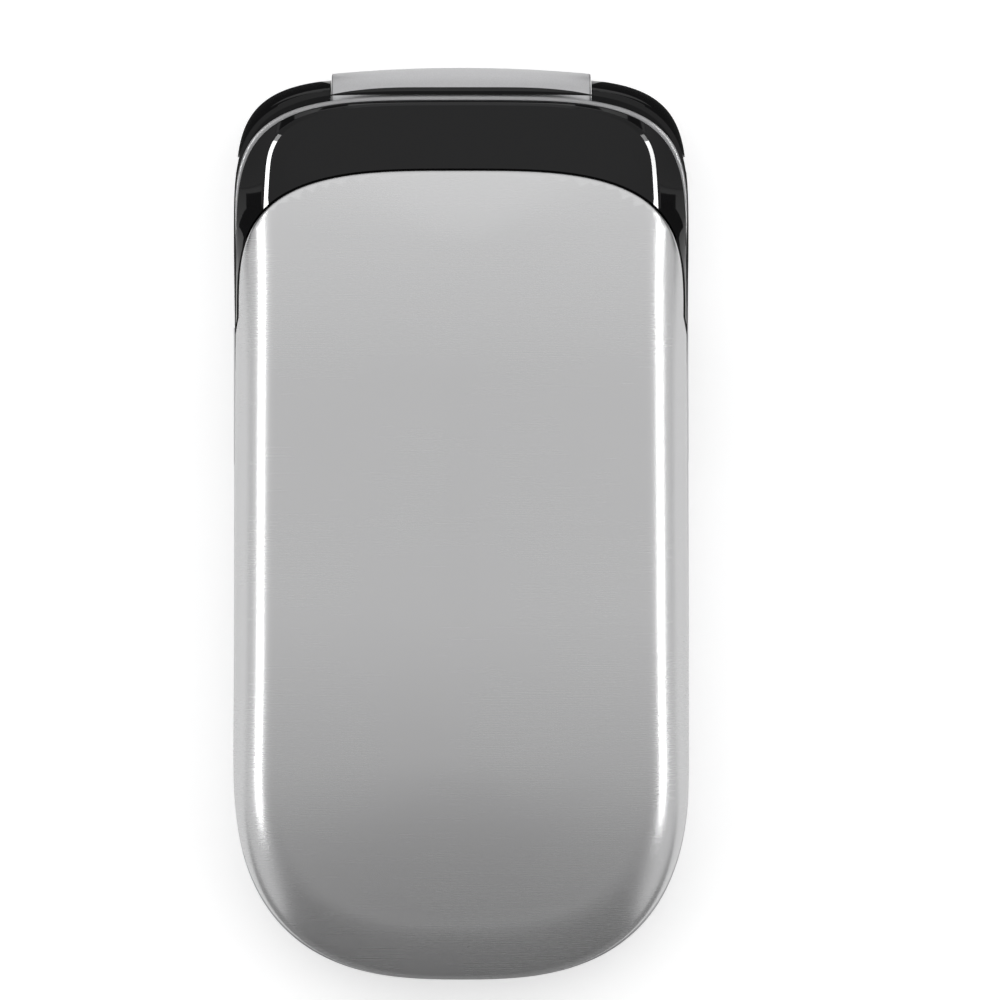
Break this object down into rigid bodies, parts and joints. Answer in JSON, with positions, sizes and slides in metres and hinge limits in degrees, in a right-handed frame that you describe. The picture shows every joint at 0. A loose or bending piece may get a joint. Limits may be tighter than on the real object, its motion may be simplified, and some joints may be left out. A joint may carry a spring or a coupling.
{
  "type": "flip phone",
  "caption": "Closed clamshell phone with a crowned silver lid, black hinge end, silver base, working hinge, keypad, side controls, battery and card.",
  "frame": {"origin": "centre of the footprint, on the surface the closed phone lies on", "axes": "+Z out of the lid's cover, +Y along the phone to its hinge, +X to the right of the lid"},
  "size_m": [0.0461, 0.092, 0.018],
  "materials": {
    "satin_silver": "satin silver with very fine lengthwise-across hairlines",
    "gloss_black": "piano black, polished",
    "silver_case": "silver painted plastic, fine metallic grain",
    "soft_black": "fine matte black",
    "clear_window": "clear polished window",
    "dark_panel": "switched-off display",
    "light_plastic": "off-white plastic",
    "green_board": "green solder mask",
    "steel": "bright sheet and turned steel",
    "black_rubber": "soft black rubber",
    "grey_rubber": "grey rubber",
    "copper_flex": "amber film over copper",
    "battery_black": "dark wrapped cell",
    "gold_contact": "gold-plated",
    "card_plastic": "white card with gold contacts",
    "key_silver": "silver keys with dark numbers"
  },
  "bodies": {
    "base": {"front_case": "silver_case", "rear_case": "silver_case", "hinge_cartridge": "steel", "hinge_spring": "steel", "hinge_flex": "copper_flex", "battery_contacts": "gold_contact", "sim_holder": "steel", "main_board": "green_board", "shield_cans": "steel", "dome_sheet": "light_plastic", "microphone": "steel", "loudspeaker": "soft_black", "vibration_motor": "steel", "antenna": "soft_black", "charging_socket": "steel", "base_screws": "steel"},
    "lid": {"lid_cover": "satin_silver", "lid_frame": "gloss_black", "inner_bezel": "soft_black", "display_window": "clear_window", "display_module": "light_plastic", "display_panel": "dark_panel", "lid_board": "green_board", "earpiece": "steel", "earpiece_mesh": "steel", "lid_magnet": "steel", "lid_bumpers": "black_rubber", "lid_screws": "steel", "hinge_shaft": "steel", "hinge_bush": "steel"},
    "battery_cover": {"battery_cover": "silver_case"},
    "battery": {"battery": "battery_black"},
    "sim_card": {"sim_card": "card_plastic"},
    "port_cover": {"port_cover": "grey_rubber"},
    "volume_rocker": {"volume_rocker": "silver_case"},
    "motor_weight": {"motor_weight": "steel"},
    "nav_ring": {"nav_ring": "key_silver"},
    "key_1": {"key_1": "key_silver"},
    "key_2": {"key_2": "key_silver"},
    "key_3": {"key_3": "key_silver"},
    "key_4": {"key_4": "key_silver"},
    "key_5": {"key_5": "key_silver"},
    "key_6": {"key_6": "key_silver"},
    "key_7": {"key_7": "key_silver"},
    "key_8": {"key_8": "key_silver"},
    "key_9": {"key_9": "key_silver"},
    "key_star": {"key_star": "key_silver"},
    "key_0": {"key_0": "key_silver"},
    "key_hash": {"key_hash": "key_silver"},
    "soft_key_left": {"soft_key_left": "key_silver"},
    "soft_key_right": {"soft_key_right": "key_silver"},
    "send_key": {"send_key": "key_silver"},
    "end_key": {"end_key": "key_silver"},
    "clear_key": {"clear_key": "key_silver"},
    "select_key": {"select_key": "key_silver"}
  },
  "joints": [
    {"name": "lid_hinge", "type": "hinge", "parent": "base", "child": "lid", "pos_m": [0, 0.0414, 0.01], "axis": [-1, 0, 0], "range_deg": [0, 160]},
    {"name": "key_1_press", "type": "slide", "parent": "base", "child": "key_1", "axis": [0, 0, -1], "range_m": [0, 0.0003], "stiffness_N_per_m": 3000},
    {"name": "key_2_press", "type": "slide", "parent": "base", "child": "key_2", "axis": [0, 0, -1], "range_m": [0, 0.0003], "stiffness_N_per_m": 3000},
    {"name": "key_3_press", "type": "slide", "parent": "base", "child": "key_3", "axis": [0, 0, -1], "range_m": [0, 0.0003], "stiffness_N_per_m": 3000},
    {"name": "key_4_press", "type": "slide", "parent": "base", "child": "key_4", "axis": [0, 0, -1], "range_m": [0, 0.0003], "stiffness_N_per_m": 3000},
    {"name": "key_5_press", "type": "slide", "parent": "base", "child": "key_5", "axis": [0, 0, -1], "range_m": [0, 0.0003], "stiffness_N_per_m": 3000},
    {"name": "key_6_press", "type": "slide", "parent": "base", "child": "key_6", "axis": [0, 0, -1], "range_m": [0, 0.0003], "stiffness_N_per_m": 3000},
    {"name": "key_7_press", "type": "slide", "parent": "base", "child": "key_7", "axis": [0, 0, -1], "range_m": [0, 0.0003], "stiffness_N_per_m": 3000},
    {"name": "key_8_press", "type": "slide", "parent": "base", "child": "key_8", "axis": [0, 0, -1], "range_m": [0, 0.0003], "stiffness_N_per_m": 3000},
    {"name": "key_9_press", "type": "slide", "parent": "base", "child": "key_9", "axis": [0, 0, -1], "range_m": [0, 0.0003], "stiffness_N_per_m": 3000},
    {"name": "key_star_press", "type": "slide", "parent": "base", "child": "key_star", "axis": [0, 0, -1], "range_m": [0, 0.0003], "stiffness_N_per_m": 3000},
    {"name": "key_0_press", "type": "slide", "parent": "base", "child": "key_0", "axis": [0, 0, -1], "range_m": [0, 0.0003], "stiffness_N_per_m": 3000},
    {"name": "key_hash_press", "type": "slide", "parent": "base", "child": "key_hash", "axis": [0, 0, -1], "range_m": [0, 0.0003], "stiffness_N_per_m": 3000},
    {"name": "soft_key_left_press", "type": "slide", "parent": "base", "child": "soft_key_left", "axis": [0, 0, -1], "range_m": [0, 0.0003], "stiffness_N_per_m": 3000},
    {"name": "soft_key_right_press", "type": "slide", "parent": "base", "child": "soft_key_right", "axis": [0, 0, -1], "range_m": [0, 0.0003], "stiffness_N_per_m": 3000},
    {"name": "send_key_press", "type": "slide", "parent": "base", "child": "send_key", "axis": [0, 0, -1], "range_m": [0, 0.0003], "stiffness_N_per_m": 3000},
    {"name": "end_key_press", "type": "slide", "parent": "base", "child": "end_key", "axis": [0, 0, -1], "range_m": [0, 0.0003], "stiffness_N_per_m": 3000},
    {"name": "clear_key_press", "type": "slide", "parent": "base", "child": "clear_key", "axis": [0, 0, -1], "range_m": [0, 0.0003], "stiffness_N_per_m": 3000},
    {"name": "select_key_press", "type": "slide", "parent": "base", "child": "select_key", "axis": [0, 0, -1], "range_m": [0, 0.0003], "stiffness_N_per_m": 3000},
    {"name": "nav_ring_tilt", "type": "hinge", "parent": "base", "child": "nav_ring", "pos_m": [0, 0.0168, 0.0088], "axis": [1, 0, 0], "range_deg": [-1.6, 1.6], "stiffness_Nm_per_rad": 0.3},
    {"name": "volume_rocker_tilt", "type": "hinge", "parent": "base", "child": "volume_rocker", "pos_m": [-0.0213, 0.013, 0.0046], "axis": [0, 0, 1], "range_deg": [-1.8, 1.8], "stiffness_Nm_per_rad": 0.3},
    {"name": "port_cover_swing", "type": "hinge", "parent": "base", "child": "port_cover", "pos_m": [0.02255, 0.0065, 0.0046], "axis": [0, 0, -1], "range_deg": [0, 90]},
    {"name": "battery_cover_lift", "type": "slide", "parent": "base", "child": "battery_cover", "axis": [0, 0, -1], "range_m": [0, 0.014]},
    {"name": "battery_lift", "type": "slide", "parent": "base", "child": "battery", "axis": [0, 0, -1], "range_m": [0, 0.007]},
    {"name": "sim_slide", "type": "slide", "parent": "base", "child": "sim_card", "axis": [0, -1, 0], "range_m": [0, 0.016]},
    {"name": "motor_weight_spin", "type": "hinge", "parent": "base", "child": "motor_weight", "pos_m": [0.011, -0.0334, 0.00365], "axis": [1, 0, 0], "continuous": true}
  ],
  "couplings": [
    {"joint": "battery_lift", "follows": "battery_cover_lift", "ratio": 0.5}
  ]
}
